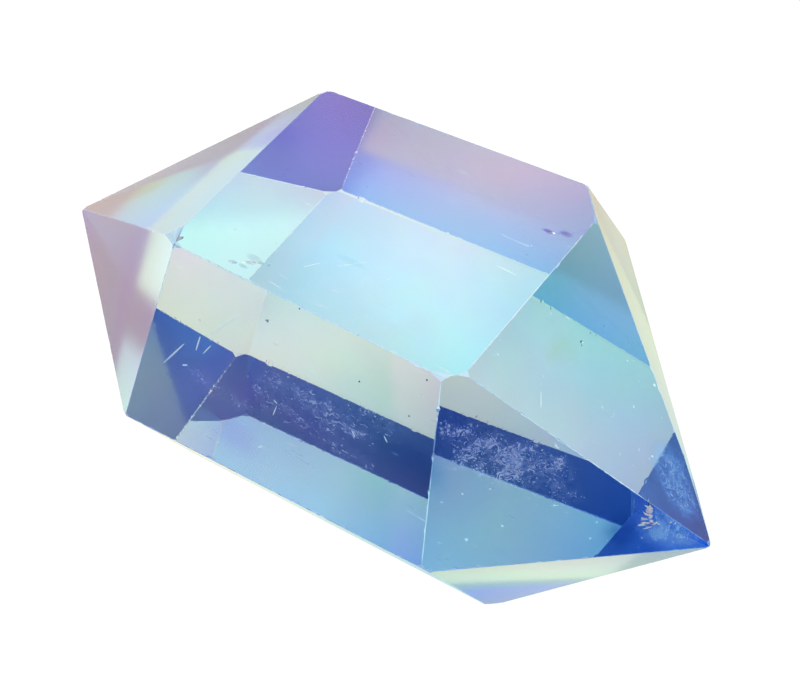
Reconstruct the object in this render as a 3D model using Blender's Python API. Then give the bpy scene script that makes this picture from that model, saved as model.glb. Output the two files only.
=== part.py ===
"""One loose, double-terminated quartz point with an aqua aura coating, lying on its flattest prism side.

The crystal is made the way a lapidary would true up the real one. It starts as a six-sided rough bar along X
that is larger than the finished stone. Nineteen flat facets are then ground into it, one plane at a time: six
prism sides, six facets of the left point and seven of the right point. Last, every crisp edge gets the narrow
worn flat that polished quartz has. The result is a single closed solid, since the real thing is a single piece.

Lengths are in metres and +Z is up. X runs along the stone, towards the right point.
"""

import math

import bmesh
import bpy
from mathutils import Matrix, Vector

MM = 0.001

# The rough bar, before any facet is ground.
ROUGH_LENGTH = 52 * MM
ROUGH_RADIUS = 21 * MM

# Height of the stone's grinding centre above the side that it lies on.
CENTRE_HEIGHT = 9.85 * MM

# Every facet is (turn, lean, depth). turn is the angle about the X axis from straight up, in degrees, positive
# towards +Y. lean is how far the facet faces along the stone, in degrees, positive towards the right point.
# depth is its distance from the grinding centre, in millimetres. The names go round the stone: top, front,
# front_low, base, back_low and back.
PRISM = {
    "top": (4.0, -4.0, 9.20),
    "front": (-65.0, 0.0, 12.20),
    "front_low": (-119.5, 4.5, 10.90),
    "base": (180.0, 0.0, 9.85),
    "back_low": (117.0, -7.5, 10.90),
    "back": (56.0, -8.0, 10.05),
}
LEFT_POINT = {
    "top": (1.5, -44.0, 12.35),
    "front": (-66.0, -42.0, 14.40),
    "front_low": (-119.5, -35.0, 14.05),
    "base": (-179.0, -33.5, 12.75),
    "back_low": (120.5, -43.0, 12.90),
    "back": (50.5, -48.5, 12.80),
}
RIGHT_POINT = {
    "top": (4.5, 36.0, 12.20),
    "front": (-52.0, 39.0, 14.45),
    "front_low": (-116.0, 40.0, 14.35),
    "base": (174.5, 50.0, 14.70),
    "back_low": (104.0, 49.5, 13.50),
    "back": (51.3, 40.9, 12.21),
    "back_tip": (61.3, 45.4, 12.94),
}

# A worn edge is ground back this far from its sharp line, and the tips and corners with it.
EDGE_WEAR = 0.035 * MM
CORNER_WEAR = 0.09 * MM
# Edges shorter than this are part of a corner and are worn away with it.
SHORT_EDGE = 0.6 * MM

# Pale blue quartz: the colour of the body, as the aura coating tints it.
AURA_COLOUR = (0.47, 0.72, 0.90, 1.0)
QUARTZ_IOR = 1.55


def facet_normal(turn, lean):
    turn, lean = math.radians(turn), math.radians(lean)
    return Vector(
        (
            math.sin(lean),
            math.cos(lean) * math.sin(turn),
            math.cos(lean) * math.cos(turn),
        )
    )


def grind(bm, normal, point):
    """Takes off everything past one plane and closes the flat that it leaves."""
    everything = bm.verts[:] + bm.edges[:] + bm.faces[:]
    cut = bmesh.ops.bisect_plane(
        bm,
        geom=everything,
        dist=1e-8,
        plane_co=point,
        plane_no=normal,
        clear_outer=True,
    )
    rim = [g for g in cut["geom_cut"] if isinstance(g, bmesh.types.BMEdge)]
    rim = [e for e in rim if e.is_valid and len(e.link_faces) == 1]
    if rim:
        bmesh.ops.edgenet_fill(bm, edges=rim)


def tidy(bm):
    bmesh.ops.remove_doubles(bm, verts=bm.verts[:], dist=1e-7)
    bmesh.ops.recalc_face_normals(bm, faces=bm.faces[:])
    bm.normal_update()


for old in list(bpy.data.objects):
    bpy.data.objects.remove(old, do_unlink=True)

stone = bmesh.new()

# The rough: a six-sided bar laid along X.
lay_along_x = Matrix.Rotation(math.radians(90), 4, "Y")
bmesh.ops.create_cone(
    stone,
    cap_ends=True,
    segments=6,
    radius1=ROUGH_RADIUS,
    radius2=ROUGH_RADIUS,
    depth=ROUGH_LENGTH,
    matrix=lay_along_x,
)

# The facets: prism sides first, then each point.
for group in (PRISM, LEFT_POINT, RIGHT_POINT):
    for turn, lean, depth in group.values():
        normal = facet_normal(turn, lean)
        grind(stone, normal, normal * depth * MM)
tidy(stone)

# Wear on the corners: a small flat square to the mean of the facets that meet there.
corner_cuts = []
for vert in stone.verts:
    mean = Vector()
    for face in vert.link_faces:
        mean += face.normal
    mean.normalize()
    corner_cuts.append((mean, vert.co - mean * CORNER_WEAR))

# Wear on the edges: a narrow flat halfway between the two facets.
edge_cuts = []
for edge in stone.edges:
    if edge.calc_length() < SHORT_EDGE:
        continue
    first, second = edge.link_faces
    mean = (first.normal + second.normal).normalized()
    edge_cuts.append((mean, edge.verts[0].co - mean * EDGE_WEAR))

for normal, point in corner_cuts + edge_cuts:
    grind(stone, normal, point)
tidy(stone)

# Stand the footprint's middle on the origin, with the base side at z = 0.
low = Vector([min(v.co[i] for v in stone.verts) for i in range(3)])
high = Vector([max(v.co[i] for v in stone.verts) for i in range(3)])
middle = (low + high) / 2

mesh = bpy.data.meshes.new("crystal")
stone.to_mesh(mesh)
stone.free()
crystal = bpy.data.objects.new("crystal", mesh)
crystal.location = (-middle.x, -middle.y, CENTRE_HEIGHT)
bpy.context.scene.collection.objects.link(crystal)

quartz = bpy.data.materials.new("aura_quartz")
quartz.use_nodes = True
shader = quartz.node_tree.nodes["Principled BSDF"]
shader.inputs["Base Color"].default_value = AURA_COLOUR
shader.inputs["Metallic"].default_value = 0.0
shader.inputs["Roughness"].default_value = 0.03
shader.inputs["IOR"].default_value = QUARTZ_IOR
shader.inputs["Transmission Weight"].default_value = 1.0
quartz.diffuse_color = AURA_COLOUR
crystal.data.materials.append(quartz)
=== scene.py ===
import math

import bmesh
import bpy
import numpy as np
from mathutils import Matrix, Vector


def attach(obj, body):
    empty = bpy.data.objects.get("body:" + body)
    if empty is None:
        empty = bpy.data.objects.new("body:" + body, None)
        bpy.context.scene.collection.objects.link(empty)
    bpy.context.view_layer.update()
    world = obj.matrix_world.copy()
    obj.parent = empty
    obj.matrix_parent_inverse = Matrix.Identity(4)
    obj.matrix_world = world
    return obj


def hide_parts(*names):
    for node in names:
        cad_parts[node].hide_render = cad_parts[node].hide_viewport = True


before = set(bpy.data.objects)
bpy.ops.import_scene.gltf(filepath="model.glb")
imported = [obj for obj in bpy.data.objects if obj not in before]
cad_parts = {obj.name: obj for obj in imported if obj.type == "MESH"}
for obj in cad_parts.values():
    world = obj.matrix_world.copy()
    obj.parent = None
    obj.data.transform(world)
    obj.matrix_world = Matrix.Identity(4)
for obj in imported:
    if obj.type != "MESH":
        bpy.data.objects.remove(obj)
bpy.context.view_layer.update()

MM = 0.001

# ---------------------------------------------------------------------------------------------
# The stone: the same nineteen facets as the CAD node, as (turn, lean, depth in mm) round the
# grinding centre.
# ---------------------------------------------------------------------------------------------
CENTRE = Vector((-0.022, 0.028, 9.85))

FACETS = {
    "A": (4.0, -4.0, 9.20),
    "B": (-65.0, 0.0, 12.20),
    "C": (-119.5, 4.5, 10.90),
    "D": (180.0, 0.0, 9.85),
    "E": (117.0, -7.5, 10.90),
    "G": (56.0, -8.0, 10.05),
    "LA": (1.5, -44.0, 12.35),
    "LB": (-66.0, -42.0, 14.40),
    "LC": (-119.5, -35.0, 14.05),
    "LD": (-179.0, -33.5, 12.75),
    "LE": (120.5, -43.0, 12.90),
    "LG": (50.5, -48.5, 12.80),
    "RA": (4.5, 36.0, 12.20),
    "RB": (-52.0, 39.0, 14.45),
    "RC": (-116.0, 40.0, 14.35),
    "RD": (174.5, 50.0, 14.70),
    "RE": (104.0, 49.5, 13.50),
    "RG": (51.3, 40.9, 12.21),
    "RF": (61.3, 45.4, 12.94),
}
FACET_NAMES = list(FACETS)

# How well each facet is polished, as Principled roughness. The top and front are bright, and the
# two ends and the back are a little satin.
POLISH = {
    "C": 0.15,
    "E": 0.12,
    "G": 0.20,
    "LA": 0.17,
    "LB": 0.20,
    "LC": 0.24,
    "LD": 0.07,
    "LE": 0.19,
    "LG": 0.24,
    "RC": 0.19,
    "RD": 0.24,
    "RE": 0.27,
    "RG": 0.18,
    "RF": 0.18,
}

# The aura film on each facet: its transmission colour at the middle of the stone's length, then
# how the log of that colour changes over 10 mm along the stone and over 10 mm across it, and then
# the same for along squared, along times across, and across squared. FILM, BODY, PATCHES, SKY and
# FLOOR were set together, by a least-squares fit of traced colours to the photograph. They are one
# solution of many: the film and the light can trade colour with each other.
FILM = {
    "A": (
        (0.85, 0.63, 0.79),
        ((-0.48, 0.21, -0.08), (0.75, -0.80, -0.48)),
        ((-1.20, -0.43, -0.06), (-0.60, 0.17, -0.15), (0.55, 0.04, -0.13)),
    ),
    "B": (
        (0.73, 0.57, 0.45),
        ((-1.20, -0.53, -0.22), (0.76, 0.18, -0.06)),
        ((-1.09, -0.49, -0.41), (1.20, 1.20, -0.95), (0.08, 0.51, 1.06)),
    ),
    "C": (
        (0.70, 0.93, 0.93),
        ((0.03, -0.07, 0.19), (-0.60, -0.06, 0.09)),
        ((0.09, 0.31, 0.13), (-0.10, -0.09, -0.32), (0.28, -0.87, -1.20)),
    ),
    "D": (
        (0.66, 0.86, 0.85),
        ((0.71, 0.46, 0.09), (-0.92, -0.31, -0.44)),
        ((-0.71, -0.20, -0.01), (-0.15, 0.14, 0.11), (-0.38, -0.37, -0.40)),
    ),
    "E": (
        (0.84, 0.73, 0.99),
        ((0.42, -0.33, 0.36), (1.20, 0.36, 0.51)),
        ((-0.84, -0.40, -0.49), (-0.85, 0.53, -0.29), (-1.05, 0.87, 0.29)),
    ),
    "G": (
        (0.67, 0.69, 0.95),
        ((0.10, -0.06, -0.06), (-0.03, 0.13, -0.02)),
        ((-0.92, -0.44, 0.02), (0.75, 0.29, 0.02), (-1.00, -0.80, -0.35)),
    ),
    "LA": (
        (0.29, 0.56, 0.69),
        ((-0.02, -0.67, 0.21), (0.11, -0.33, -0.87)),
        ((0.04, -0.41, -0.18), (0.19, 0.42, 0.49), (0.63, 0.40, -0.48)),
    ),
    "LB": (
        (0.48, 0.70, 0.50),
        ((0.66, 0.61, 0.80), (0.23, -0.02, 0.72)),
        ((-0.85, -0.01, 0.91), (0.11, 0.34, -0.18), (0.16, 0.48, 0.28)),
    ),
    "LC": (
        (0.29, 0.29, 0.99),
        ((0.38, 0.25, -0.01), (-0.07, -0.08, 0.01)),
        ((-0.79, -0.59, -0.37), (0.01, 0.02, 0.19), (0.00, 0.03, -0.06)),
    ),
    "LD": (
        (0.75, 0.97, 0.97),
        ((-0.20, -0.29, -0.26), (-0.26, 0.04, 0.10)),
        ((0.61, -0.26, -0.22), (-0.01, 0.07, 0.06), (0.16, -0.33, -0.48)),
    ),
    "LE": (
        (0.95, 0.96, 0.86),
        ((-0.01, -0.24, -0.26), (-0.10, 0.10, -0.05)),
        ((0.32, -0.19, -0.30), (0.61, -0.13, -0.31), (-0.21, 0.00, 0.36)),
    ),
    "LG": (
        (0.84, 0.50, 0.99),
        ((-0.19, 0.19, -0.03), (-0.68, 0.69, 0.06)),
        ((-0.04, 0.39, -0.34), (0.10, 0.09, 0.23), (-0.80, 0.51, 0.03)),
    ),
    "RA": (
        (0.29, 0.46, 0.38),
        ((-0.78, 0.45, 0.92), (-0.46, -0.26, -0.37)),
        ((0.24, -1.01, -0.84), (-0.34, 0.40, 0.06), (1.20, 0.29, -0.07)),
    ),
    "RB": (
        (0.35, 0.31, 0.29),
        ((-0.84, -0.46, 0.24), (0.84, 0.29, 0.14)),
        ((-1.20, -0.23, 0.54), (-0.04, 0.84, 1.20), (0.56, 1.20, 1.20)),
    ),
    "RC": (
        (0.99, 0.71, 0.37),
        ((-0.23, -0.09, -0.38), (-0.03, -0.13, 0.00)),
        ((-0.42, 0.06, 0.55), (-0.62, -0.39, 0.70), (0.13, -0.05, -0.58)),
    ),
    "RD": (
        (0.97, 0.96, 0.65),
        ((0.03, 0.03, 0.11), (-0.05, -0.04, 0.18)),
        ((0.03, -0.12, 0.11), (-0.13, -0.17, 0.11), (-0.05, -0.04, 0.00)),
    ),
    "RE": (
        (0.97, 0.99, 0.77),
        ((-0.46, -0.56, 0.11), (0.07, 0.51, 0.56)),
        ((-0.64, 0.04, 0.05), (-0.20, 0.00, 0.01), (-0.03, -0.89, -0.28)),
    ),
    "RG": (
        (0.29, 0.29, 0.29),
        ((-0.27, -0.12, -0.13), (-0.04, 0.08, -0.16)),
        ((-0.16, 0.02, 0.66), (-0.05, -0.01, -0.13), (-0.03, 0.07, 0.14)),
    ),
    "RF": (
        (0.31, 0.34, 0.64),
        ((0.03, 0.09, 0.01), (-0.03, -0.06, 0.00)),
        ((0.13, 0.30, 0.12), (-0.03, -0.06, -0.05), (-0.02, -0.04, 0.02)),
    ),
}
BODY = (0.494, 0.341, 0.000)
# The first two patches, on D and LD, are painted shadow: the soft shadow on the floor under the stone, seen through
# these facets, put into the film.
PATCHES = {
    "Dleft_painted_shadow": (1.39, 0.96, 0.88),
    "LDup_painted_shadow_edge": (0.70, 0.66, 0.79),
    "Bright": (1.57, 1.01, 1.23),
    "RClow": (0.81, 0.29, 2.64),
    "Gright": (1.52, 2.36, 1.05),
}

# The studio: what the light is like at six heights of the sky and five distances over the floor,
# each to the front, left, back and right of the stone. This light is fitted, and it is strongly
# coloured and uneven. Only the camera's direct view of the floor and the sky is plain white.
SKY_LEVELS = (0.0, 8.0, 20.0, 38.0, 60.0, 90.0)
SKY = (
    ((0.01, 0.09, 0.46), (0.21, 0.59, 0.76), (0.44, 0.71, 1.01), (0.01, 0.30, 0.85)),
    ((0.04, 0.21, 0.47), (0.41, 0.67, 0.72), (0.77, 0.86, 0.91), (1.53, 0.93, 0.68)),
    ((0.12, 0.29, 0.52), (0.35, 0.58, 0.57), (0.85, 1.08, 1.03), (0.07, 1.05, 0.99)),
    ((0.21, 0.62, 1.13), (0.01, 0.79, 0.99), (2.13, 1.67, 1.33), (1.15, 1.45, 1.34)),
    ((0.93, 0.79, 1.03), (0.97, 1.40, 1.22), (1.35, 1.70, 1.00), (1.40, 1.26, 1.10)),
    ((1.29, 1.16, 1.00), (1.29, 1.18, 1.01), (1.36, 1.19, 0.95), (1.33, 1.17, 0.98)),
)
FLOOR_RINGS = (0.0, 14.0, 32.0, 70.0, 160.0)
FLOOR = (
    ((1.20, 1.20, 0.95), (1.20, 1.22, 0.98), (1.21, 1.27, 1.02), (1.22, 1.21, 0.97)),
    ((0.41, 0.81, 0.84), (1.32, 1.24, 0.92), (1.31, 1.60, 1.04), (1.24, 1.28, 1.00)),
    ((0.32, 0.59, 0.66), (1.82, 1.12, 0.89), (1.45, 1.18, 0.62), (0.57, 0.75, 0.56)),
    ((0.36, 0.49, 0.68), (1.54, 1.06, 0.78), (1.27, 1.00, 0.81), (0.60, 0.71, 0.86)),
    ((0.01, 0.12, 0.53), (0.01, 0.29, 0.49), (0.49, 0.66, 0.79), (0.01, 0.54, 0.84)),
)

HEADING = -26.13


# ---------------------------------------------------------------------------------------------
# Node helper
# ---------------------------------------------------------------------------------------------
class Net:
    def __init__(self, tree):
        self.tree = tree
        tree.nodes.clear()

    def node(self, kind, **settings):
        made = self.tree.nodes.new(kind)
        for name, value in settings.items():
            setattr(made, name, value)
        return made

    def put(self, socket, value):
        if isinstance(value, bpy.types.NodeSocket):
            self.tree.links.new(value, socket)
        elif value is not None:
            socket.default_value = value

    def math(self, operation, a, b=None, c=None, clamp=False):
        made = self.node("ShaderNodeMath", operation=operation, use_clamp=clamp)
        for socket, value in zip(made.inputs, (a, b, c)):
            self.put(socket, value)
        return made.outputs[0]

    def vmath(self, operation, a, b=None, c=None, scale=None):
        made = self.node("ShaderNodeVectorMath", operation=operation)
        self.put(made.inputs[0], a)
        if b is not None:
            self.put(made.inputs[1], b)
        if c is not None:
            self.put(made.inputs[2], c)
        if scale is not None:
            self.put(made.inputs["Scale"], scale)
        number = operation in ("DOT_PRODUCT", "LENGTH", "DISTANCE")
        return made.outputs[1] if number else made.outputs[0]

    def smooth(self, value, low, high, out_low=0.0, out_high=1.0):
        made = self.node("ShaderNodeMapRange", interpolation_type="SMOOTHSTEP")
        self.put(made.inputs["Value"], value)
        self.put(made.inputs["From Min"], low)
        self.put(made.inputs["From Max"], high)
        self.put(made.inputs["To Min"], out_low)
        self.put(made.inputs["To Max"], out_high)
        return made.outputs["Result"]

    def mix(self, factor, a, b, blend="MIX"):
        made = self.node("ShaderNodeMix", data_type="RGBA", blend_type=blend)
        self.put(made.inputs[0], factor)
        self.put(made.inputs[6], a)
        self.put(made.inputs[7], b)
        return made.outputs[2]

    def noise(self, vector, scale, detail=2.0, rough=0.5, colour=False, warp=0.0):
        made = self.node("ShaderNodeTexNoise")
        self.put(made.inputs["Vector"], vector)
        made.inputs["Scale"].default_value = scale
        made.inputs["Detail"].default_value = detail
        made.inputs["Roughness"].default_value = rough
        made.inputs["Distortion"].default_value = warp
        return made.outputs["Color" if colour else "Fac"]

    def mapped(self, vector, turn=(0, 0, 0), scale=(1, 1, 1), move=(0, 0, 0)):
        made = self.node("ShaderNodeMapping")
        self.put(made.inputs["Vector"], vector)
        made.inputs["Rotation"].default_value = [math.radians(a) for a in turn]
        made.inputs["Scale"].default_value = scale
        made.inputs["Location"].default_value = move
        return made.outputs[0]

    def ramp(self, value, stops, interpolation="EASE"):
        made = self.node("ShaderNodeValToRGB")
        band = made.color_ramp
        band.interpolation = interpolation
        while len(band.elements) > 1:
            band.elements.remove(band.elements[-1])
        band.elements[0].position = stops[0][0]
        band.elements[0].color = (*stops[0][1], 1.0)
        for place, colour in stops[1:]:
            element = band.elements.new(place)
            element.color = (*colour, 1.0)
        self.put(made.inputs[0], value)
        return made.outputs[0]


def turned(net, vector):
    """Azimuth of a vector from the light's heading, as 0 to 1, with 0.5 straight ahead."""
    parts = net.node("ShaderNodeSeparateXYZ")
    net.put(parts.inputs[0], vector)
    angle = net.math("ARCTAN2", parts.outputs["X"], parts.outputs["Y"])
    share = net.math("MULTIPLY_ADD", angle, 1 / (2 * math.pi), 0.5 - HEADING / 360.0)
    return net.math("FRACT", share), parts


def round_the_compass(net, share, colours):
    count = len(colours)
    stops = [(i / count, colours[i]) for i in range(count)] + [(1.0, colours[0])]
    return net.ramp(share, stops)


# ---------------------------------------------------------------------------------------------
# Mesh of the stone. Everything here is in millimetres until the mesh is finished.
# ---------------------------------------------------------------------------------------------
def facet_normal(turn, lean):
    turn, lean = math.radians(turn), math.radians(lean)
    return Vector(
        (
            math.sin(lean),
            math.cos(lean) * math.sin(turn),
            math.cos(lean) * math.cos(turn),
        )
    )


NORMALS = {name: facet_normal(t, l) for name, (t, l, _) in FACETS.items()}
DEPTHS = {name: d for name, (_, _, d) in FACETS.items()}
OFFSETS = {name: NORMALS[name].dot(CENTRE) + DEPTHS[name] for name in FACETS}


def grind(bm, normal, point):
    """Takes off everything past one plane and closes the flat that it leaves."""
    everything = bm.verts[:] + bm.edges[:] + bm.faces[:]
    cut = bmesh.ops.bisect_plane(
        bm, geom=everything, dist=1e-6, plane_co=point, plane_no=normal, clear_outer=True
    )
    rim = [g for g in cut["geom_cut"] if isinstance(g, bmesh.types.BMEdge)]
    rim = [e for e in rim if e.is_valid and len(e.link_faces) == 1]
    if rim:
        bmesh.ops.edgenet_fill(bm, edges=rim)


def facet_of(normal, point):
    for name in FACET_NAMES:
        if normal.dot(NORMALS[name]) > 0.99999 and abs(NORMALS[name].dot(point) - OFFSETS[name]) < 0.002:
            return name
    return None


# Each edge: radius of its worn rounding, then chips per mm and their half-width, all in mm.
EDGE_WEAR = {
    ("A", "B"): (0.05, 0.5, 0.05),
    ("A", "RA"): (0.05, 0.4, 0.05),
    ("A", "G"): (0.05, 0.5, 0.05),
    ("A", "LA"): (0.05, 0.5, 0.05),
    ("B", "RB"): (0.06, 0.5, 0.05),
    ("B", "LB"): (0.05, 0.5, 0.05),
    ("B", "C"): (0.06, 0.8, 0.07),
    ("RA", "RB"): (0.03, 0.5, 0.05),
    ("RA", "RG"): (0.06, 0.4, 0.06),
    ("D", "E"): (0.17, 2.2, 0.045),
    ("E", "G"): (0.08, 1.4, 0.05),
    ("D", "LD"): (0.09, 5.0, 0.045),
    ("LD", "LE"): (0.09, 1.6, 0.04),
    ("E", "LE"): (0.07, 0.8, 0.05),
    ("LG", "G"): (0.06, 1.4, 0.07),
    ("C", "D"): (0.08, 2.4, 0.05),
    ("D", "RD"): (0.06, 1.2, 0.06),
}
ORDINARY_WEAR = (0.05, 0.5, 0.06)
BAND = 0.42


def pair(a, b):
    return tuple(sorted((a, b), key=FACET_NAMES.index))


EDGE_WEAR = {pair(*k): v for k, v in EDGE_WEAR.items()}
rng = np.random.default_rng(17)

stone = bmesh.new()
bmesh.ops.create_cube(stone, size=120.0)
for name in FACET_NAMES:
    grind(stone, NORMALS[name], NORMALS[name] * OFFSETS[name])
bmesh.ops.remove_doubles(stone, verts=stone.verts[:], dist=1e-5)
bmesh.ops.recalc_face_normals(stone, faces=stone.faces[:])
stone.normal_update()

edges = []
for edge in stone.edges:
    first, second = [facet_of(f.normal, f.calc_center_median()) for f in edge.link_faces]
    if first and second:
        edges.append((pair(first, second), edge.verts[0].co.copy(), edge.verts[1].co.copy()))
corners = [(v.co.copy(), sum((f.normal for f in v.link_faces), Vector()).normalized()) for v in stone.verts]


def tangent_centre(trio, radius):
    """Centre of the ball of this radius that touches three facets from inside."""
    rows = np.array([NORMALS[n] for n in trio])
    return Vector(np.linalg.solve(rows, [OFFSETS[n] - radius for n in trio]))


# The corner between the top and front facets is worn round, and two more a little.
WORN_CORNERS = (
    (("A", "B", "RA"), ("A", "B", "RA", "RB"), 0.95),
    (("A", "B", "LB"), ("A", "B", "LA", "LB"), 0.35),
    (("A", "G", "RA"), ("A", "G", "RA", "RG"), 0.55),
    (("A", "E", "LA"), ("A", "G", "LA"), 0.50),
)
for trio, around, radius in WORN_CORNERS:
    middle = tangent_centre(tuple(around[:3]) if "E" in trio else trio, radius)
    for weights in np.ndindex(*([3] * len(around))):
        if sum(w > 0 for w in weights) < 3:
            continue
        way = sum((NORMALS[n] * float(w) for n, w in zip(around, weights)), Vector()).normalized()
        grind(stone, way, middle + way * radius)

# Rounded edges: three narrow flats tangent to a fillet.
edge_frames = []
for (first, second), start, end in edges:
    if (end - start).length < 0.5:
        continue
    radius, density, size = EDGE_WEAR.get((first, second), ORDINARY_WEAR)
    a, b = NORMALS[first], NORMALS[second]
    along = a.cross(b)
    rows = np.array([a, b, along])
    axis = Vector(np.linalg.solve(rows, [OFFSETS[first] - radius, OFFSETS[second] - radius, along.dot(start)]))
    for share in (0.2, 0.5, 0.8):
        flat = a.slerp(b, share).normalized()
        grind(stone, flat, axis + flat * radius)
    edge_frames.append((first, second, start, end, radius, density, size))

for place, mean in corners:
    grind(stone, mean, place - mean * 0.07)
bmesh.ops.remove_doubles(stone, verts=stone.verts[:], dist=1e-4)
bmesh.ops.recalc_face_normals(stone, faces=stone.faces[:])
stone.normal_update()


def geometry(faces):
    """The faces with their edges and corners, as bmesh operators want them."""
    lines, points = {}, {}
    for face in faces:
        for line in face.edges:
            lines[line] = None
        for point in face.verts:
            points[point] = None
    return list(points) + list(lines) + list(faces)


kind = stone.faces.layers.int.new("kind")  # 0 wear, then 1 + facet number, and + 100 for its border
for face in stone.faces:
    name = facet_of(face.normal, face.calc_center_median())
    face[kind] = 0 if name is None else 1 + FACET_NAMES.index(name)

# A border along every edge, which the chips may eat into.
for first, second, start, end, radius, density, size in edge_frames:
    for own, other in ((first, second), (second, first)):
        inward = (NORMALS[own] * NORMALS[own].dot(NORMALS[other]) - NORMALS[other]).normalized()
        code = 1 + FACET_NAMES.index(own)
        faces = [f for f in stone.faces if f[kind] == code]
        turn = math.acos(max(-1, min(1, NORMALS[own].dot(NORMALS[other]))))
        at = start + inward * (radius * math.tan(turn / 2) + BAND)
        bmesh.ops.bisect_plane(stone, geom=geometry(faces), dist=1e-5, plane_co=at, plane_no=inward)
        for f in stone.faces:
            if f[kind] == code and (f.calc_center_median() - at).dot(inward) < 0:
                f[kind] = code + 100

def profile(length, density, size, stations, seed):
    """How far chips eat into one side of an edge at each station along it."""
    local = np.random.default_rng(seed)
    depth = np.abs(local.normal(0, 1, len(stations))) * size * 0.16
    for _ in range(int(round(length * density))):
        middle = local.uniform(0, length)
        half = size * local.lognormal(0.0, 0.5)
        tall = half * local.uniform(0.25, 0.95)
        across = np.abs(stations - middle) / half
        skew = 1 + 0.5 * local.uniform(-1, 1) * np.sign(stations - middle)
        shape = np.clip(1 - (across * skew) ** 2.2, 0, 1) ** 0.6
        depth = np.maximum(depth, tall * shape)
    return depth


stone.verts.index_update()
for number, (first, second, start, end, radius, density, size) in enumerate(edge_frames):
    along = (end - start).normalized()
    length = (end - start).length
    a, b = NORMALS[first], NORMALS[second]
    mean = (a + b).normalized()
    spacing = 0.07 if density > 1.5 else (0.12 if density > 0.55 else 0.2)
    place_a = (a * a.dot(b) - b).normalized()
    place_b = (b * a.dot(b) - a).normalized()

    def in_strip(face):
        if face[kind] != 0 or abs(face.normal.dot(along)) > 1e-3:
            return False
        middle = face.calc_center_median() - start
        return (middle - along * middle.dot(along)).length < radius * 1.2 + 0.03

    strip = [f for f in stone.faces if in_strip(f)]
    if not strip:
        continue
    local = np.random.default_rng(900 + number)
    count = max(2, int(length / spacing))
    cuts = (np.arange(1, count) + local.uniform(-0.35, 0.35, count - 1)) * length / count
    spans = {f: [(v.co - start).dot(along) for v in f.verts] for f in strip}
    pieces = list(strip)
    for cut in cuts:
        crossed = []
        for f in pieces:
            values = [(v.co - start).dot(along) for v in f.verts]
            if min(values) < cut - 1e-5 and max(values) > cut + 1e-5:
                crossed.append(f)
        if not crossed:
            continue
        made = bmesh.ops.bisect_plane(
            stone, geom=geometry(crossed), dist=1e-5, plane_co=start + along * float(cut), plane_no=along
        )
        fresh = [g for g in made["geom"] if isinstance(g, bmesh.types.BMFace)]
        keep = set(pieces)
        keep.update(f for f in fresh if f.is_valid)
        pieces = [f for f in keep if f.is_valid and max((v.co - start).dot(along) for v in f.verts) > cut + 1e-5]
    rows_at = {}
    for f in stone.faces:
        if in_strip(f):
            for v in f.verts:
                rows_at.setdefault(round((v.co - start).dot(along), 3), set()).add(v)
    stations = np.array(sorted(rows_at))
    eat_a = profile(length, density, size, stations, 2000 + number)
    eat_b = profile(length, density, size, stations, 4000 + number)
    both = profile(length, density * 0.6, size, stations, 6000 + number)
    eat_a, eat_b = np.maximum(eat_a, both), np.maximum(eat_b, both * 0.9)
    tremble = local.uniform(-1, 1, (len(stations), 2))
    for k, t in enumerate(stations):
        row = sorted(rows_at[t], key=lambda v: (v.co - start).dot(place_a) - (v.co - start).dot(place_b), reverse=True)
        if len(row) != 4:
            continue
        near_end = min(t, length - t)
        fade = min(1.0, max(0.0, (near_end - 0.35) / 0.4))
        if fade <= 0:
            continue
        on_a, on_b = row[0], row[3]
        if abs(a.dot(on_a.co) - OFFSETS[first]) > 2e-4 or abs(b.dot(on_b.co) - OFFSETS[second]) > 2e-4:
            continue
        shift_a = min(BAND * 0.8, float(eat_a[k])) * fade
        shift_b = min(BAND * 0.8, float(eat_b[k])) * fade
        bulge = [(v.co - (on_a.co * (1 - f) + on_b.co * f)).dot(mean) for v, f in ((row[1], 0.33), (row[2], 0.67))]
        on_a.co += place_a * shift_a
        on_b.co += place_b * shift_b
        left = max(0.0, 1 - (shift_a + shift_b) / 0.12)
        for v, f, up, shake in ((row[1], 0.33, bulge[0], tremble[k][0]), (row[2], 0.67, bulge[1], tremble[k][1])):
            rest = on_a.co * (1 - f) + on_b.co * f
            v.co = rest + mean * (up * left - (shift_a + shift_b) * 0.10 * (0.5 + 0.5 * float(shake)))
# A grid inside the borders, so that the film's colour can change across a facet.
STEP = 0.62
low_corner = [min(v.co[i] for v in stone.verts) for i in range(3)]
high_corner = [max(v.co[i] for v in stone.verts) for i in range(3)]
for axis in range(3):
    way = Vector([1.0 if i == axis else 0.0 for i in range(3)])
    at = low_corner[axis] + STEP * 0.47
    while at < high_corner[axis]:
        inner = [f for f in stone.faces if 0 < f[kind] < 100]
        bmesh.ops.bisect_plane(stone, geom=geometry(inner), dist=1e-5, plane_co=way * at, plane_no=way)
        at += STEP
loose = [f for f in stone.faces if f[kind] == 0 or f[kind] > 100]
bmesh.ops.triangulate(stone, faces=loose)
bmesh.ops.remove_doubles(stone, verts=stone.verts[:], dist=2e-4)
bmesh.ops.dissolve_degenerate(stone, dist=1e-4, edges=stone.edges[:])


def add_ball(bm, centre, radii, axes, level=2, jitter=0.0):
    """A pebble-shaped cutter: an icosphere with its own radii along three axes."""
    made = bmesh.ops.create_icosphere(bm, subdivisions=level, radius=1.0)["verts"]
    frame_ = Matrix((axes[0], axes[1], axes[2])).transposed()
    for vert in made:
        bump = 1.0 + jitter * math.sin(vert.co.x * 7.1 + centre[0]) * math.cos(vert.co.y * 6.3 + centre[1] * 3)
        local = Vector((vert.co.x * radii[0], vert.co.y * radii[1], vert.co.z * radii[2])) * bump
        vert.co = frame_ @ local + Vector(centre)


def frame_for(normal, along):
    normal = Vector(normal).normalized()
    along = Vector(along)
    along = (along - normal * along.dot(normal)).normalized()
    return along, normal.cross(along), normal


cutters = bmesh.new()
taken = []


def free(place, size):
    for other, other_size in taken:
        if (Vector(place) - other).length < (size + other_size) * 1.02:
            return False
    taken.append((Vector(place), size))
    return True


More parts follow.
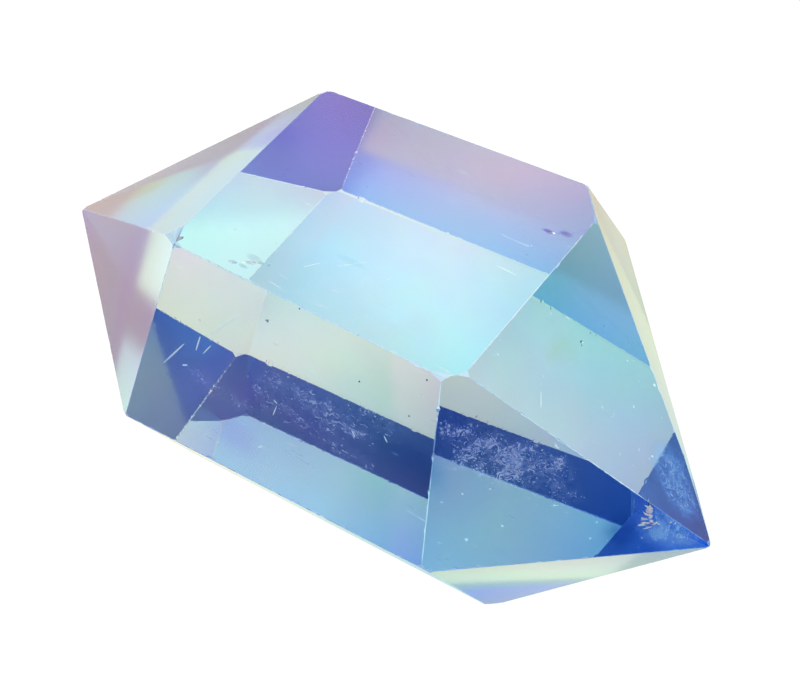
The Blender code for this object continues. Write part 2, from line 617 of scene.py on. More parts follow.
# Scratches, nicks and feathers that the stone shows at known places:
# (facet, start, end, width, depth).
GROOVES = (
    ("B", (-6.73, -11.69, 13.59), (-5.98, -11.02, 15.02), 0.08, 0.040),
    ("B", (-5.27, -11.00, 15.08), (-5.28, -10.67, 15.77), 0.08, 0.036),
    ("B", (-5.10, -11.00, 15.06), (-4.80, -10.70, 15.70), 0.08, 0.036),
    ("B", (-4.85, -10.98, 15.12), (-4.60, -10.72, 15.66), 0.05, 0.025),
    ("B", (-5.69, -11.48, 14.04), (-5.48, -11.43, 14.16), 0.08, 0.035),
    ("B", (-5.22, -11.10, 14.86), (-5.16, -10.80, 15.50), 0.05, 0.025),
    ("B", (-4.98, -11.02, 15.02), (-4.58, -10.86, 15.36), 0.04, 0.020),
    ("B", (-0.36, -11.37, 14.27), (-0.34, -11.14, 14.76), 0.05, 0.025),
    ("B", (-0.38, -11.08, 14.89), (-0.57, -11.05, 14.96), 0.05, 0.025),
    ("B", (3.65, -10.72, 15.68), (3.89, -10.80, 15.50), 0.06, 0.030),
    ("B", (5.20, -10.43, 16.29), (5.44, -10.51, 16.11), 0.06, 0.030),
    ("B", (-0.50, -12.21, 12.46), (-0.36, -12.17, 12.55), 0.13, 0.050),
    ("B", (-4.81, -10.51, 16.12), (-3.66, -9.74, 17.78), 0.06, 0.014),
    ("B", (-4.50, -10.50, 16.20), (-3.70, -9.92, 17.40), 0.05, 0.012),
    ("B", (-2.30, -9.56, 18.12), (-2.20, -9.50, 18.28), 0.10, 0.050),
    ("B", (6.06, -9.22, 18.90), (6.16, -9.18, 18.96), 0.07, 0.035),
    ("A", (2.17, -8.69, 19.86), (2.25, -8.70, 19.86), 0.08, 0.040),
    ("A", (-1.07, -5.60, 19.41), (-0.09, -4.49, 19.41), 0.05, 0.010),
    ("A", (-2.30, -6.60, 19.38), (-1.80, -5.90, 19.38), 0.05, 0.010),
    ("A", (5.62, 2.50, 19.32), (6.99, 3.57, 19.34), 0.09, 0.030),
    ("A", (5.40, 2.72, 19.32), (6.10, 2.86, 19.33), 0.10, 0.035),
    ("A", (7.02, 3.86, 19.34), (7.40, 4.02, 19.35), 0.08, 0.025),
    ("RA", (10.15, -4.90, 17.95), (10.58, -5.55, 17.69), 0.06, 0.014),
    ("RA", (10.12, -0.95, 17.64), (10.22, -0.83, 17.60), 0.09, 0.045),
    ("RB", (10.32, -9.01, 14.84), (10.40, -8.97, 14.84), 0.05, 0.025),
)
for facet, start, end, width, depth in GROOVES:
    start, end = Vector(start), Vector(end)
    normal = NORMALS[facet]
    middle = (start + end) / 2
    middle -= normal * (normal.dot(middle) - OFFSETS[facet])
    half = (end - start).length / 2 + width * 0.5
    tall = depth * 2.0
    lift = tall - depth
    spread = math.sqrt(max(1e-3, 1 - (lift / tall) ** 2))
    if free(middle, half * 0.40):
        add_ball(
            cutters,
            middle + normal * lift,
            (half / spread, width / 2 / spread, tall),
            frame_for(normal, end - start),
            3,
        )

DISHES = (
    # facet, place, radius at the surface, depth, stretch, direction
    ("A", (-4.42, -7.92, 19.34), 0.13, 0.06, 3.2, (0.8, 0.5, 0.0)),
    ("A", (-4.62, -7.66, 19.34), 0.09, 0.05, 3.4, (0.8, 0.62, 0.0)),
    ("A", (-5.15, -8.38, 19.32), 0.10, 0.05, 2.2, (0.9, 0.3, 0.0)),
    ("A", (-3.72, -7.50, 19.36), 0.09, 0.05, 1.6, (0.8, -0.2, 0.0)),
    ("A", (-8.10, -8.65, 19.08), 0.12, 0.08, 1.9, (0.35, 1.0, 0.0)),
    ("RB", (9.20, -9.72, 14.60), 0.05, 0.025, 1.2, (1, 0, 0)),
    ("B", (-5.95, -11.32, 14.38), 0.10, 0.045, 1.3, (1, 0, 0)),
)
for facet, place, radius, depth, stretch, way in DISHES:
    normal = NORMALS[facet]
    place = Vector(place)
    place -= normal * (normal.dot(place) - OFFSETS[facet])
    tall = depth * 2.5
    lift = tall - depth
    wide = radius / math.sqrt(1 - (lift / tall) ** 2)
    if free(place, radius * stretch):
        add_ball(cutters, place + normal * lift, (wide * stretch, wide, tall), frame_for(normal, way), 4, 0.05)


def as_object(bm, name):
    made = bpy.data.meshes.new(name)
    bm.to_mesh(made)
    bm.free()
    ob = bpy.data.objects.new(name, made)
    bpy.context.scene.collection.objects.link(ob)
    return ob


blank = as_object(stone, "blank")
tool = as_object(cutters, "tool")
bite = blank.modifiers.new("bite", "BOOLEAN")
bite.operation = "DIFFERENCE"
bite.object = tool
bite.solver = "MANIFOLD"
bpy.context.view_layer.update()
graph = bpy.context.evaluated_depsgraph_get()
mesh = bpy.data.meshes.new_from_object(blank.evaluated_get(graph))
mesh.name = "quartz_point"
if "kind" in mesh.attributes:
    mesh.attributes.remove(mesh.attributes["kind"])
print("boolean", len(blank.data.polygons), "to", len(mesh.polygons))
bpy.data.objects.remove(blank, do_unlink=True)
bpy.data.objects.remove(tool, do_unlink=True)

count = len(mesh.vertices)
places = np.zeros(count * 3, np.float32)
mesh.vertices.foreach_get("co", places)
places = places.reshape(-1, 3).astype(float)
n_faces = len(mesh.polygons)
face_normals = np.zeros(n_faces * 3, np.float32)
mesh.polygons.foreach_get("normal", face_normals)
face_normals = face_normals.reshape(-1, 3)
face_centres = np.zeros(n_faces * 3, np.float32)
mesh.polygons.foreach_get("center", face_centres)
face_centres = face_centres.reshape(-1, 3)
loop_totals = np.zeros(n_faces, np.int32)
mesh.polygons.foreach_get("loop_total", loop_totals)
loops_face = np.repeat(np.arange(n_faces), loop_totals)
loop_verts = np.zeros(len(mesh.loops), np.int32)
mesh.loops.foreach_get("vertex_index", loop_verts)
spot = places[loop_verts]
all_normals = np.array([NORMALS[n] for n in FACET_NAMES])
all_offsets = np.array([OFFSETS[n] for n in FACET_NAMES])
# A face belongs to a facet if all its corners lie on that facet's plane.
off = np.abs(spot @ all_normals.T - all_offsets)
first_loop = np.concatenate([[0], np.cumsum(loop_totals)[:-1]])
worst = np.maximum.reduceat(off, first_loop, axis=0)
facet_of_face = np.where(worst.min(1) < 0.002, worst.argmin(1), -1)
spot_facet = facet_of_face[loops_face]


def step_up(x):
    x = np.clip(x, 0, 1)
    return x * x * (3 - 2 * x)


def patch(name, p):
    """Where a facet's film turns thicker or thinner, from 0 to 1. On D and LD it is painted shadow instead: the soft
    edge of the shadow on the floor under the stone, seen through these facets.
    """
    if name == "Dleft_painted_shadow":
        return 1 - step_up((p[:, 0] + 6.7) / 1.0 + 0.5)
    if name == "LDup_painted_shadow_edge":
        a, b = np.array([-12.56, -2.22]), np.array([-9.0, 2.82])
        t = (b - a) / np.linalg.norm(b - a)
        return step_up(((p[:, :2] - a) @ np.array([-t[1], t[0]])) / 0.9 * 0.5 + 0.5)
    if name == "Bright":
        return step_up((p - [3.95, -8.57, 20.28]) @ np.array([0.934, 0.150, 0.325]) / 0.9 + 0.5)
    if name == "RClow":
        return step_up((p - [10.14, -9.22, 5.52]) @ np.array([-0.389, 0.085, -0.917]) / 1.2 + 0.5)
    if name == "Gright":
        return step_up((p[:, 0] + 2.0) / 12.0 + 0.5)
    raise ValueError(name)


PATCH_FACET = {"Dleft_painted_shadow": "D", "LDup_painted_shadow_edge": "LD", "Bright": "B", "RClow": "RC", "Gright": "G"}

film = np.ones((len(spot), 4))
film[:, :3] = (0.98, 0.98, 0.95)  # bare quartz, where the film is worn or chipped off
for index, name in enumerate(FACET_NAMES):
    here = spot_facet == index
    normal = np.array(NORMALS[name])
    along = np.array([1.0, 0.0, 0.0]) - normal[0] * normal
    along /= np.linalg.norm(along)
    across = np.cross(normal, along)
    relative = spot[here] - np.array(CENTRE)
    u, v = relative @ along / 10, relative @ across / 10
    base, slopes, bends = FILM[name]
    log = np.tile(np.log(np.array(base)), (len(u), 1))
    for term, rate in zip((u, v, u * u, u * v, v * v), slopes + bends):
        log = log + np.outer(term, rate)
    for patch_name, facet in PATCH_FACET.items():
        if facet == name:
            log = log + patch(patch_name, spot[here])[:, None] * np.log(np.array(PATCHES[patch_name]))[None]
    film[here, :3] = np.clip(np.exp(log), 0.01, 0.99)

# Spots where the film changes colour: place, half-sizes along x, y, z in mm, tone.
SPOTS = (
    ((9.80, -1.95, 17.95), (0.75, 0.70, 0.60), (1.00, 0.93, 0.70)),
    ((9.60, -2.80, 18.15), (0.45, 0.45, 0.45), (1.00, 0.90, 0.66)),
    ((-15.48, -1.96, 12.15), (1.70, 0.90, 1.70), (0.90, 0.72, 0.46)),
    ((-16.13, 2.13, 11.41), (2.20, 0.60, 2.20), (0.88, 0.74, 0.56)),
    ((-13.43, 3.54, 13.98), (1.70, 0.60, 1.70), (0.86, 0.76, 0.66)),
    ((-9.16, 0.64, 18.18), (1.60, 0.90, 1.60), (0.74, 0.68, 1.00)),
    ((-11.50, -2.20, 16.05), (0.80, 0.50, 0.80), (0.86, 0.78, 0.95)),
    ((-11.78, -8.46, 12.38), (1.40, 1.60, 1.60), (0.84, 0.66, 0.90)),
    ((-11.30, -9.70, 10.67), (1.20, 1.40, 1.60), (0.90, 0.74, 0.92)),
    ((7.76, 5.63, 17.92), (1.20, 1.40, 1.20), (1.00, 0.98, 0.78)),
    ((9.69, 5.08, 15.93), (1.20, 1.40, 1.20), (0.98, 1.00, 0.74)),
    ((12.36, 3.24, 14.52), (1.20, 1.40, 1.20), (0.90, 1.00, 0.84)),
    ((6.45, -11.60, 13.90), (1.50, 0.60, 1.20), (0.88, 1.00, 0.94)),
    ((8.00, -11.00, 14.90), (0.90, 0.40, 0.90), (0.86, 1.00, 0.92)),
    ((16.30, -5.30, 12.20), (0.90, 0.80, 0.90), (0.40, 0.50, 0.72)),
    ((16.13, -5.45, 11.79), (1.10, 0.80, 0.80), (0.30, 0.40, 0.60)),
    ((17.60, -4.60, 10.90), (1.00, 0.70, 0.60), (0.55, 0.60, 0.85)),
    ((6.90, -10.62, 15.80), (1.90, 0.60, 1.10), (0.24, 0.60, 0.74)),
    ((0.90, -11.15, 14.70), (2.10, 0.50, 1.00), (1.00, 0.66, 0.96)),
    ((-1.83, -11.25, 14.54), (0.90, 0.50, 0.90), (1.00, 0.62, 0.94)),
    ((-1.90, -12.30, 12.20), (1.30, 0.50, 0.90), (0.86, 0.70, 1.00)),
)
for place, sizes, tone in SPOTS:
    away = (spot - np.array(place)) / np.array(sizes)
    inside = 1 - step_up((np.linalg.norm(away, axis=1) - 0.35) / 1.1)
    inside[spot_facet < 0] = 0
    film[:, :3] *= 1 + inside[:, None] * (np.array(tone)[None] - 1)
film[:, :3] = np.maximum(film[:, :3], 0.01)

worn = (spot_facet < 0).astype(float)
polish = np.full(len(spot), 0.0)
for name, value in POLISH.items():
    polish[spot_facet == FACET_NAMES.index(name)] = value
polish[spot_facet < 0] = 0.22
# Each worn place takes after the edge that it lies on: the share of light that it scatters.
SCATTER = {
    ("D", "E"): 0.02,
    ("D", "LD"): 0.08,
    ("LD", "LE"): 0.03,
    ("E", "LE"): 0.05,
    ("E", "G"): 0.05,
    ("D", "C"): 0.10,
    ("A", "B"): 0.16,
    ("A", "RA"): 0.16,
    ("A", "LA"): 0.12,
    ("A", "G"): 0.12,
    ("RA", "RB"): 0.14,
    ("RA", "RG"): 0.14,
}
SCATTER = {pair(*k): v for k, v in SCATTER.items()}
bare = np.nonzero(spot_facet < 0)[0]
nearest = np.full(len(bare), 1e9)
share_there = np.full(len(bare), 0.30)
kept = np.zeros(len(bare), bool)
for first, second, start, end, radius, density, size in edge_frames:
    start, end = np.array(start), np.array(end)
    line = (end - start) / np.linalg.norm(end - start)
    away = spot[bare] - start
    t = np.clip(away @ line, 0, np.linalg.norm(end - start))
    distance = np.linalg.norm(away - np.outer(t, line), axis=1)
    closer = (distance < nearest) & (distance < radius * 1.6 + 0.30)
    nearest[closer] = distance[closer]
    share_there[closer] = SCATTER.get((first, second), 0.22)
    kept[closer] = SCATTER.get((first, second), 0.22) > 0.11
share_there[nearest > 1e8] = 0.50
worn[bare] = share_there
film[bare[kept], :3] = (0.84, 0.93, 0.94)
# Nicks that kept some film: place, radius, film colour, share that scatters the light. In the chip near x −4.5 the
# grey and teal film colours are painted shade, the darkness in its hollow.
NICK_COLOURS_AND_SHADE = (
    ((6.30, 3.04, 19.33), 0.95, (0.30, 0.20, 0.62), 0.0),
    ((5.75, 2.80, 19.32), 0.55, (0.34, 0.22, 0.66), 0.1),
    ((7.21, 3.94, 19.35), 0.35, (0.34, 0.30, 0.70), 0.0),
    ((-4.62, -7.66, 19.34), 0.36, (0.50, 0.52, 0.60), 0.0),
    ((-5.15, -8.38, 19.32), 0.26, (0.45, 0.66, 0.70), 0.0),
    ((-3.72, -7.50, 19.36), 0.20, (0.36, 0.52, 0.60), 0.0),
    ((-8.10, -8.65, 19.08), 0.28, (0.22, 0.22, 0.26), 0.0),
)
for place, radius, tone, scatter in NICK_COLOURS_AND_SHADE:
    near = (spot_facet < 0) & (np.linalg.norm(spot - np.array(place), axis=1) < radius)
    near &= np.abs(spot @ np.array(NORMALS["A"]) - OFFSETS["A"]) < 0.12
    film[near, :3] = tone
    worn[near] = scatter
    polish[near] = 0.12
# Places where the surface is rubbed into fine fibres: facet, place, half-length along the stone,
# half-length across, strength.
RUBBED = (
    ("B", (0.6, -10.52, 16.08), 2.2, 0.38, 0.60),
    ("B", (4.6, -10.22, 16.72), 3.2, 0.36, 0.95),
    ("B", (2.6, -10.66, 15.78), 2.1, 0.75, 0.80),
    ("B", (-0.6, -10.95, 15.15), 1.7, 1.30, 0.45),
    ("B", (-3.2, -11.55, 13.90), 2.0, 0.55, 0.50),
    ("B", (2.6, -11.20, 14.60), 3.0, 0.55, 0.50),
    ("RB", (8.9, -8.62, 17.22), 2.0, 0.45, 0.90),
    ("RB", (11.3, -7.05, 16.10), 2.4, 0.55, 0.95),
    ("RB", (10.4, -7.95, 16.00), 2.6, 1.05, 0.95),
    ("RB", (9.8, -8.75, 16.00), 2.4, 0.50, 0.75),
    ("RB", (12.6, -6.90, 14.50), 1.8, 0.60, 0.50),
)
# Veils of healed cracks close under the surface at the right tip, with the same numbers.
VEILED = (
    ("RA", (16.55, -1.45, 13.10), 1.50, 1.15, 1.00),
    ("RA", (17.40, -1.95, 12.45), 1.70, 1.00, 1.00),
    ("RB", (17.60, -3.80, 11.90), 1.45, 1.10, 1.00),
    ("RB", (18.70, -3.15, 11.45), 1.20, 0.60, 0.80),
)


def marks(places_list):
    """0 to 1: how far each face corner lies inside the marked places of its facet."""
    total = np.zeros(len(spot))
    for facet, place, half_along, half_across, strength in places_list:
        index = FACET_NAMES.index(facet)
        here = spot_facet == index
        normal = np.array(NORMALS[facet])
        along = np.array([1.0, 0.0, 0.0]) - normal[0] * normal
        along /= np.linalg.norm(along)
        across = np.cross(normal, along)
        away = spot[here] - np.array(place)
        reach = np.sqrt((away @ along / half_along) ** 2 + (away @ across / half_across) ** 2)
        total[here] = np.maximum(total[here], strength * (1 - step_up((reach - 0.55) / 0.75)))
    return total


rubbed = marks(RUBBED)
veiled = marks(VEILED)


def attribute(name, kind, values):
    made = mesh.attributes.new(name, kind, "CORNER")
    made.data.foreach_set("color" if kind == "FLOAT_COLOR" else "value", np.asarray(values, np.float32).ravel())


attribute("film", "FLOAT_COLOR", film)
attribute("worn", "FLOAT", worn)
attribute("polish", "FLOAT", polish)
attribute("rubbed", "FLOAT", rubbed)
attribute("veiled", "FLOAT", veiled)
mesh.vertices.foreach_set("co", (places * MM).astype(np.float32).ravel())
mesh.update()
crystal = bpy.data.objects.new("quartz_point", mesh)
bpy.context.scene.collection.objects.link(crystal)
print("stone", len(mesh.vertices), "vertices", len(mesh.polygons), "faces", "worn faces", int((facet_of_face < 0).sum()))

# ---------------------------------------------------------------------------------------------
# Aura quartz
# ---------------------------------------------------------------------------------------------
aura = bpy.data.materials.new("aura_quartz")
aura.use_nodes = True
net = Net(aura.node_tree)
shader = net.node("ShaderNodeBsdfPrincipled")
shader.inputs["IOR"].default_value = 1.55
where = net.node("ShaderNodeTexCoord").outputs["Object"]
film_colour = net.node("ShaderNodeAttribute", attribute_name="film").outputs["Color"]
worn_mask = net.node("ShaderNodeAttribute", attribute_name="worn").outputs["Fac"]
polish_value = net.node("ShaderNodeAttribute", attribute_name="polish").outputs["Fac"]
rubbed_mask = net.node("ShaderNodeAttribute", attribute_name="rubbed").outputs["Fac"]
veiled_mask = net.node("ShaderNodeAttribute", attribute_name="veiled").outputs["Fac"]

# The film is slightly uneven, in clouds a few mm wide.
clouds = net.noise(where, 260.0, 2.0, 0.60, colour=True)
clouds = net.vmath("MULTIPLY_ADD", clouds, (0.30, 0.30, 0.30), (0.85, 0.85, 0.85))
colour = net.vmath("MULTIPLY", film_colour, clouds)

# Small smudges and specks of other colour: place, half-sizes along x, y, z in mm, tone. At the chip near x −4.5 the
# mauve one above it and the two teal ones in it are painted shade, not smudges.
SMUDGES_AND_CHIP_SHADE = (
    ((-0.66, -4.93, 19.40), (0.85, 0.22, 0.30), (0.80, 0.86, 0.92)),
    ((-4.50, -7.56, 19.31), (0.42, 0.22, 0.20), (0.72, 0.62, 0.74)),
    ((-4.59, -8.31, 19.36), (0.26, 0.12, 0.20), (0.42, 0.62, 0.66)),
    ((-4.04, -7.63, 19.35), (0.16, 0.11, 0.20), (0.36, 0.52, 0.58)),
    ((5.77, 2.81, 19.31), (0.26, 0.15, 0.20), (0.26, 0.16, 0.50)),
    ((6.59, 3.17, 19.34), (0.36, 0.20, 0.20), (0.34, 0.24, 0.62)),
)
for place, sizes, tone in SMUDGES_AND_CHIP_SHADE:
    away = net.vmath("MULTIPLY_ADD", where, tuple(1 / (x * MM) for x in sizes), tuple(-c / x for c, x in zip(place, sizes)))
    inside = net.smooth(net.vmath("LENGTH", away), 1.35, 0.45)
    colour = net.mix(inside, colour, net.vmath("MULTIPLY", colour, tone))

# Rubbed places: short curved fibres in three directions over a thin haze.
fibres = None
bend = net.noise(where, 1300.0, 2.0, 0.6, colour=True)
bent = net.vmath("MULTIPLY_ADD", bend, (0.0010, 0.0010, 0.0010), where)
patchy = net.smooth(net.noise(where, 1100.0, 2.0, 0.6), 0.38, 0.58)
rub = net.math("MINIMUM", net.math("MULTIPLY", rubbed_mask, 1.3), 1.0)
rub = net.math("MULTIPLY", rub, net.math("MULTIPLY_ADD", patchy, 0.45, 0.60))
for turn, scale, move, fine in (
    ((0, 0, 24), (0.16, 1.0, 1.0), 0.0, 9500.0),
    ((40, 0, -38), (0.18, 1.0, 1.0), 0.011, 11000.0),
    ((-30, 15, 80), (0.20, 1.0, 1.0), 0.023, 9000.0),
):
    strand = net.mapped(bent, turn=turn, scale=scale, move=(move, move * 2, move * 3))
    strand = net.noise(strand, fine, 1.0, 0.6)
    level = net.math("MULTIPLY_ADD", rub, -0.20, 0.745)
    strand = net.math("SUBTRACT", strand, level)
    strand = net.smooth(strand, -0.01, 0.10)
    fibres = strand if fibres is None else net.math("MAXIMUM", fibres, strand)
fibres = net.math("MULTIPLY", fibres, net.smooth(rub, 0.02, 0.30))
haze = net.smooth(net.noise(bent, 3000.0, 3.0, 0.7), 0.34, 0.64)
haze = net.math("MULTIPLY", haze, rub)
haze = net.math("MULTIPLY", haze, 0.20)
scuffed = net.math("MAXIMUM", net.math("MULTIPLY", fibres, 0.40), haze)

# Veils at the tip: wisps that run down from the top of it, over a thin cloud.
wisps = net.mapped(bent, turn=(0, 0, 35), scale=(1.15, 1.15, 0.20))
veil = None
for scale, move, width in ((2300.0, 0.0, 0.045), (3900.0, 0.013, 0.050)):
    ridge = net.noise(net.mapped(wisps, move=(move, move, move)), scale, 2.0, 0.6, warp=0.6)
    ridge = net.math("ABSOLUTE", net.math("SUBTRACT", ridge, 0.5))
    ridge = net.smooth(ridge, width, 0.0)
    veil = ridge if veil is None else net.math("MAXIMUM", net.math("MULTIPLY", veil, 0.9), net.math("MULTIPLY", ridge, 0.6))
cloud = net.smooth(net.noise(where, 1300.0, 3.0, 0.7, warp=0.6), 0.36, 0.66)
veil = net.math("MAXIMUM", net.math("MULTIPLY", veil, 0.95), net.math("MULTIPLY_ADD", cloud, 0.34, 0.30))
veil = net.math("MULTIPLY", veil, veiled_mask)

# Dust and pits.
cells = net.node("ShaderNodeTexVoronoi", feature="F1")
net.put(cells.inputs["Vector"], where)
cells.inputs["Scale"].default_value = 520.0
pick = net.node("ShaderNodeSeparateColor")
net.put(pick.inputs[0], cells.outputs["Color"])
size = net.math("MULTIPLY_ADD", pick.outputs[0], 0.018, 0.008)
dust = net.math("LESS_THAN", cells.outputs["Distance"], size)
dust = net.math("MULTIPLY", dust, net.math("GREATER_THAN", pick.outputs[1], 0.62))
dark_dust = net.math("MULTIPLY", dust, net.math("GREATER_THAN", pick.outputs[2], 0.22))

# Dark specks where the stone shows them, several of them on the nicks and grooves cut above.
DARK_SPECKS = (
    ((-2.25, -9.53, 18.21), 0.10),
    ((-0.92, -8.92, 19.52), 0.06),
    ((2.23, -8.74, 19.92), 0.08),
    ((3.10, -9.66, 17.94), 0.06),
    ((6.11, -9.20, 18.93), 0.05),
    ((5.95, -9.74, 17.77), 0.06),
    ((6.10, -8.84, 19.69), 0.07),
    ((10.14, -0.90, 17.64), 0.11),
    ((10.28, -1.02, 17.60), 0.07),
    ((10.36, 4.52, 17.05), 0.10),
    ((7.69, 3.56, 20.59), 0.10),
)
ragged = net.vmath("MULTIPLY_ADD", bend, (0.00016, 0.00016, 0.00016), where)
dark_specks = None
for place, radius in DARK_SPECKS:
    far = net.vmath("DISTANCE", ragged, tuple((x + 0.08) * MM for x in place))
    spot_here = net.smooth(far, radius * MM, radius * MM * 0.45)
    dark_specks = spot_here if dark_specks is None else net.math("MAXIMUM", dark_specks, spot_here)

# Hair scratches in two directions.
hair = None
for turn, move in (((20, 35, 65), 0.0), ((70, -20, 15), 0.3)):
    lines = net.mapped(where, turn=turn, scale=(0.045, 1.0, 1.0), move=(move, move * 2, move * 3))
    line = net.noise(lines, 5200.0, 1.0, 0.4)
    line = net.smooth(line, 0.735, 0.775)
    hair = line if hair is None else net.math("MAXIMUM", hair, line)
hair = net.math("MULTIPLY", hair, net.smooth(net.noise(where, 700.0, 1.0), 0.5, 0.62))

lost = net.math("MAXIMUM", scuffed, net.math("MULTIPLY", veil, 0.46))
lost = net.math("MAXIMUM", lost, net.math("MULTIPLY", dust, 0.4))
lost = net.math("MAXIMUM", lost, net.math("MULTIPLY", hair, 0.16))
lost = net.math("MAXIMUM", lost, worn_mask)
lost = net.math("MAXIMUM", lost, net.math("MULTIPLY", dark_specks, 0.75))
net.put(shader.inputs["Transmission Weight"], net.math("SUBTRACT", 1.0, lost))
pale = net.smooth(scuffed, 0.0, 0.25)
pale = net.math("MAXIMUM", pale, net.math("SUBTRACT", dust, dark_dust))
colour = net.mix(pale, colour, (0.86, 0.75, 0.84, 1.0))
colour = net.mix(hair, colour, (0.90, 0.92, 0.95, 1.0))
colour = net.mix(net.smooth(veil, 0.05, 0.6), colour, net.mix(net.smooth(veil, 0.35, 0.9), (0.16, 0.32, 0.72, 1.0), (0.50, 0.73, 0.96, 1.0)))
colour = net.mix(dark_dust, colour, (0.10, 0.11, 0.14, 1.0))
colour = net.mix(dark_specks, colour, (0.09, 0.10, 0.13, 1.0))
net.put(shader.inputs["Base Color"], colour)
rough = net.math("MAXIMUM", polish_value, net.math("MULTIPLY", lost, 0.5))
net.put(shader.inputs["Roughness"], rough)
body = net.node("ShaderNodeVolumeAbsorption")
strongest = 1.3 * max(BODY) / 0.020
body.inputs["Density"].default_value = strongest
body.inputs["Color"].default_value = (*[1 - b / 0.020 / strongest for b in BODY], 1.0)
out = net.node("ShaderNodeOutputMaterial")
net.put(out.inputs["Surface"], shader.outputs[0])
net.put(out.inputs["Volume"], body.outputs[0])
mesh.materials.clear()
mesh.materials.append(aura)
mesh.polygons.foreach_set("material_index", np.zeros(len(mesh.polygons), np.int32))

# ---------------------------------------------------------------------------------------------
# Flakes: the small cream and orange platelets that cling to the front of the right tip
# ---------------------------------------------------------------------------------------------
flakes = bmesh.new()
flake_colour_and_shading = flakes.loops.layers.float_color.new("flake_colour_and_shading")
front = NORMALS["RB"]
# Their colours are their own tan and cream with painted light mixed in: the spread from white to dull grey-blue stands
# in for the light and shade their tilts would catch, and the small white ones are painted glints.
FLAKE_PLACES = (
    # place on the facet, half-length, half-width, turn in degrees, colour
    ((16.70, -3.97, 12.92), 0.085, 0.032, 70, (0.72, 0.40, 0.24)),
    ((16.80, -4.06, 12.76), 0.060, 0.024, 95, (0.90, 0.74, 0.58)),
    ((16.69, -4.18, 12.66), 0.070, 0.022, 60, (0.96, 0.92, 0.86)),
    ((16.94, -4.10, 12.50), 0.070, 0.022, 75, (0.70, 0.54, 0.46)),
    ((16.72, -4.34, 12.42), 0.070, 0.024, 50, (0.86, 0.86, 0.84)),
    ((16.76, -4.49, 12.18), 0.110, 0.045, 64, (0.95, 0.90, 0.66)),
    ((16.96, -4.36, 12.22), 0.075, 0.026, 80, (0.74, 0.62, 0.50)),
    ((17.08, -4.20, 12.28), 0.085, 0.030, 50, (0.82, 0.58, 0.42)),
    ((17.24, -4.06, 12.14), 0.105, 0.040, 58, (0.90, 0.74, 0.60)),
    ((17.02, -4.42, 11.98), 0.075, 0.028, 66, (0.60, 0.62, 0.70)),
    ((17.40, -3.92, 12.06), 0.070, 0.024, 35, (0.66, 0.72, 0.86)),
    ((17.82, -3.50, 12.06), 0.080, 0.028, 60, (0.70, 0.52, 0.58)),
    ((18.02, -3.36, 11.98), 0.060, 0.024, 50, (0.78, 0.62, 0.64)),
)
for number, (place, long_, wide, turn, shade) in enumerate(FLAKE_PLACES):
    local = np.random.default_rng(50 + number)
    place = Vector(place)
    place -= front * (front.dot(place) - OFFSETS["RB"] - 0.004 - 0.006 * (number % 3))
    x_way, y_way, z_way = frame_for(front, (1, 0, 0))
    spin = math.radians(turn)
    tip = (z_way + x_way * float(local.uniform(-0.10, 0.10)) + y_way * float(local.uniform(-0.10, 0.10))).normalized()
    first_way = (x_way * math.cos(spin) + y_way * math.sin(spin)).normalized()
    axes = frame_for(tip, first_way)
    before = set(flakes.verts)
    add_ball(flakes, place, (long_ * 1.15, wide * 1.35, 0.016), axes, 2)
    fresh = [v for v in flakes.verts if v not in before]
    for v in fresh:
        away = v.co - place
        jag = 1 + 0.09 * math.sin(away.dot(axes[0]) * 41 + number) * math.cos(away.dot(axes[1]) * 57 + number * 2)
        v.co = place + axes[0] * away.dot(axes[0]) * jag + axes[1] * away.dot(axes[1]) * jag + axes[2] * away.dot(axes[2])
    for face in {f for v in fresh for f in v.link_faces}:
        for loop in face.loops:
            loop[flake_colour_and_shading] = (*shade, 1.0)
for v in flakes.verts:
    v.co *= MM
flake_mesh = bpy.data.meshes.new("tip_flakes")
flakes.to_mesh(flake_mesh)
flakes.free()
flake_object = bpy.data.objects.new("tip_flakes", flake_mesh)
bpy.context.scene.collection.objects.link(flake_object)
platelet = bpy.data.materials.new("flake")
platelet.use_nodes = True
net = Net(platelet.node_tree)
shader = net.node("ShaderNodeBsdfPrincipled")
here = net.node("ShaderNodeTexCoord").outputs["Object"]
shade = net.node("ShaderNodeAttribute", attribute_name="flake_colour_and_shading").outputs["Color"]
cloud = net.noise(here, 6000.0, 3.0, 0.6, colour=True)
cloud = net.vmath("MULTIPLY_ADD", cloud, (0.7, 0.7, 0.7), (0.62, 0.62, 0.62))
net.put(shader.inputs["Base Color"], net.vmath("MULTIPLY", shade, cloud))
net.put(shader.inputs["Roughness"], net.math("MULTIPLY_ADD", net.noise(here, 9000.0), 0.3, 0.25))
shader.inputs["Subsurface Weight"].default_value = 0.0
out = net.node("ShaderNodeOutputMaterial")
net.put(out.inputs["Surface"], shader.outputs[0])
flake_mesh.materials.append(platelet)
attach(flake_object, "root")

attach(crystal, "root")
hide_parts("crystal")

# ---------------------------------------------------------------------------------------------
# Floor and light
# ---------------------------------------------------------------------------------------------
floor_mesh = bpy.data.meshes.new("floor")
reach = 6.0
drop = -0.00004
floor_mesh.from_pydata(
    [(-reach, -reach, drop), (reach, -reach, drop), (reach, reach, drop), (-reach, reach, drop)],
    [],
    [(0, 1, 2, 3)],
)
floor = bpy.data.objects.new("floor", floor_mesh)
bpy.context.scene.collection.objects.link(floor)
floor_glow_material = bpy.data.materials.new("floor_glow")
floor_glow_material.use_nodes = True
net = Net(floor_glow_material.node_tree)
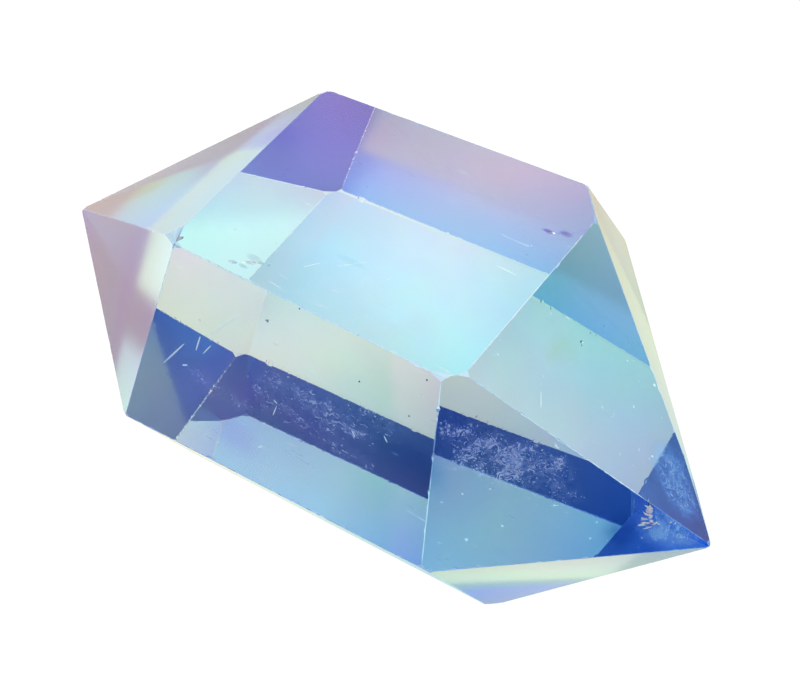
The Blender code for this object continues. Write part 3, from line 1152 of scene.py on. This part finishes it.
# The floor glows with the fitted light, and near the stone its rings paint the coloured shadow and caustic light that
# fall under it; the camera's direct view stays plain white.
place = net.node("ShaderNodeNewGeometry").outputs["Position"]
share, parts = turned(net, place)
flat = net.node("ShaderNodeCombineXYZ")
net.put(flat.inputs[0], parts.outputs["X"])
net.put(flat.inputs[1], parts.outputs["Y"])
away = net.vmath("LENGTH", flat.outputs[0])
glow = round_the_compass(net, share, FLOOR[0])
for i in range(1, len(FLOOR_RINGS)):
    ring = round_the_compass(net, share, FLOOR[i])
    step = net.smooth(away, FLOOR_RINGS[i - 1] * MM, FLOOR_RINGS[i] * MM)
    glow = net.mix(step, glow, ring)
path = net.node("ShaderNodeLightPath")
glow = net.mix(path.outputs["Is Camera Ray"], glow, (1.05, 1.05, 1.05, 1.0))
shine = net.node("ShaderNodeEmission")
net.put(shine.inputs["Color"], glow)
out = net.node("ShaderNodeOutputMaterial")
net.put(out.inputs["Surface"], shine.outputs[0])
floor_mesh.materials.append(floor_glow_material)

world = bpy.data.worlds.new("studio")
bpy.context.scene.world = world
world.use_nodes = True
net = Net(world.node_tree)
look = net.node("ShaderNodeTexCoord").outputs["Generated"]
share, parts = turned(net, look)
height = net.math("DEGREES", net.math("ARCSINE", parts.outputs["Z"]))
glow = round_the_compass(net, share, SKY[0])
for i in range(1, len(SKY_LEVELS)):
    level = round_the_compass(net, share, SKY[i])
    step = net.smooth(height, float(SKY_LEVELS[i - 1]), float(SKY_LEVELS[i]))
    glow = net.mix(step, glow, level)
path = net.node("ShaderNodeLightPath")
glow = net.mix(path.outputs["Is Camera Ray"], glow, (1.05, 1.05, 1.05, 1.0))
sky = net.node("ShaderNodeBackground")
net.put(sky.inputs["Color"], glow)
out = net.node("ShaderNodeOutputWorld")
net.put(out.inputs["Surface"], sky.outputs[0])

# ---------------------------------------------------------------------------------------------
# Camera
# ---------------------------------------------------------------------------------------------
camera_data = bpy.data.cameras.new("camera")
camera_data.lens = 76.494
camera_data.sensor_width = 36.0
camera_data.sensor_fit = "HORIZONTAL"
camera_data.clip_start = 0.002
camera_data.clip_end = 50.0
camera = bpy.data.objects.new("camera", camera_data)
bpy.context.scene.collection.objects.link(camera)
right = Vector((0.83091655, 0.54735402, 0.09990624)).normalized()
ahead = Vector((-0.2744447, 0.55938712, -0.78215482))
ahead = (ahead - right * ahead.dot(right)).normalized()
up = right.cross(ahead)
turn = Matrix((right, up, -ahead)).transposed().to_4x4()
camera.matrix_world = Matrix.Translation(Vector((25.325, -51.374, 80.615)) * MM) @ turn
bpy.context.scene.camera = camera

scene = bpy.context.scene
scene.view_settings.view_transform = "Standard"
scene.view_settings.look = "None"
scene.view_settings.exposure = 0.0
scene.view_settings.gamma = 1.0
scene.cycles.max_bounces = 12
scene.cycles.transmission_bounces = 12
scene.cycles.glossy_bounces = 12
scene.cycles.diffuse_bounces = 4
scene.cycles.transparent_max_bounces = 16
scene.cycles.use_denoising = True
scene.cycles.sample_clamp_indirect = 8.0

bpy.context.view_layer.update()
